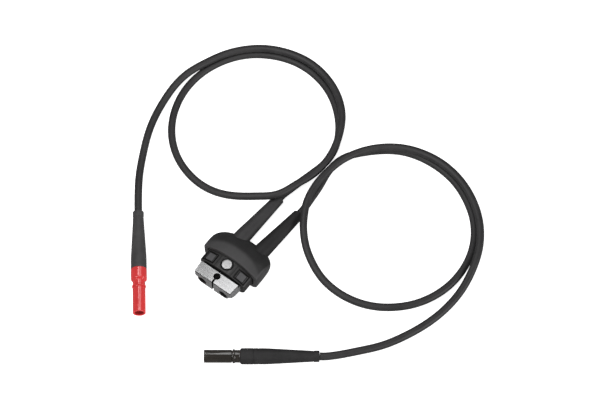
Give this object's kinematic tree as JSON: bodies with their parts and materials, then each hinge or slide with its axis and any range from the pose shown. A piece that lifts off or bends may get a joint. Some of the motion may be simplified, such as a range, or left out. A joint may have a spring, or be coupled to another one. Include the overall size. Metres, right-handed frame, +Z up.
{
  "type": "two-lead test adapter",
  "caption": "Two-lead test adapter: moulded head with a steel-faced socket block and a sprung release button, two black leads, and shrouded 4 mm plugs in red and black",
  "frame": {"origin": "on the table under the middle of the moulded head", "axes": "+Z up from the table, +Y from the socket face to the lead boots, +X across the head toward the black plug's lead"},
  "size_m": [0.2835, 0.2513, 0.025],
  "materials": {
    "black_rubber": "matte moulded elastomer",
    "black_plastic": "fine satin texture",
    "glossy_black_plastic": "smooth gloss",
    "dark_liner": "matte",
    "red_plastic": "smooth gloss",
    "brushed_steel": "brushed across the head",
    "bright_steel": "fine brushed",
    "dark_metal": "satin grey",
    "brass": "bright",
    "nickel_plate": "bright nickel plate"
  },
  "bodies": {
    "head": {"button_bezel": "black_plastic", "button_spring": "bright_steel", "cable_boot_left": "black_rubber", "cable_boot_right": "black_rubber", "cable_left": "black_rubber", "cable_right": "black_rubber", "connector_block": "dark_metal", "grip_hood": "black_rubber", "inner_lead_left": "dark_liner", "inner_lead_right": "dark_liner", "insert_body": "black_plastic", "plug_body_black": "glossy_black_plastic", "plug_body_red": "red_plastic", "plug_boot_black": "black_rubber", "plug_boot_red": "black_rubber", "plug_ferrule_black": "nickel_plate", "plug_ferrule_red": "nickel_plate", "plug_pin_black": "nickel_plate", "plug_pin_red": "nickel_plate", "plug_spring_cage_black": "brass", "plug_spring_cage_red": "brass", "side_pad_left": "black_plastic", "side_pad_right": "black_plastic", "socket_contact_left": "brass", "socket_contact_right": "brass", "socket_sleeve_left": "dark_liner", "socket_sleeve_right": "dark_liner", "top_plate": "brushed_steel"},
    "button": {"release_button": "bright_steel"},
    "latch": {"latch_bolt": "bright_steel"}
  },
  "joints": [
    {"name": "button_press", "type": "slide", "parent": "head", "child": "button", "axis": [0, 0, -1], "range_m": [0, 0.0012], "stiffness_N_per_m": 600, "springref_m": -0.0006, "deforming": ["button_spring"]},
    {"name": "latch_slide", "type": "slide", "parent": "head", "child": "latch", "axis": [0, 1, 0], "range_m": [0, 0.0012]}
  ],
  "couplings": [
    {"joint": "latch_slide", "follows": "button_press", "ratio": 1}
  ]
}
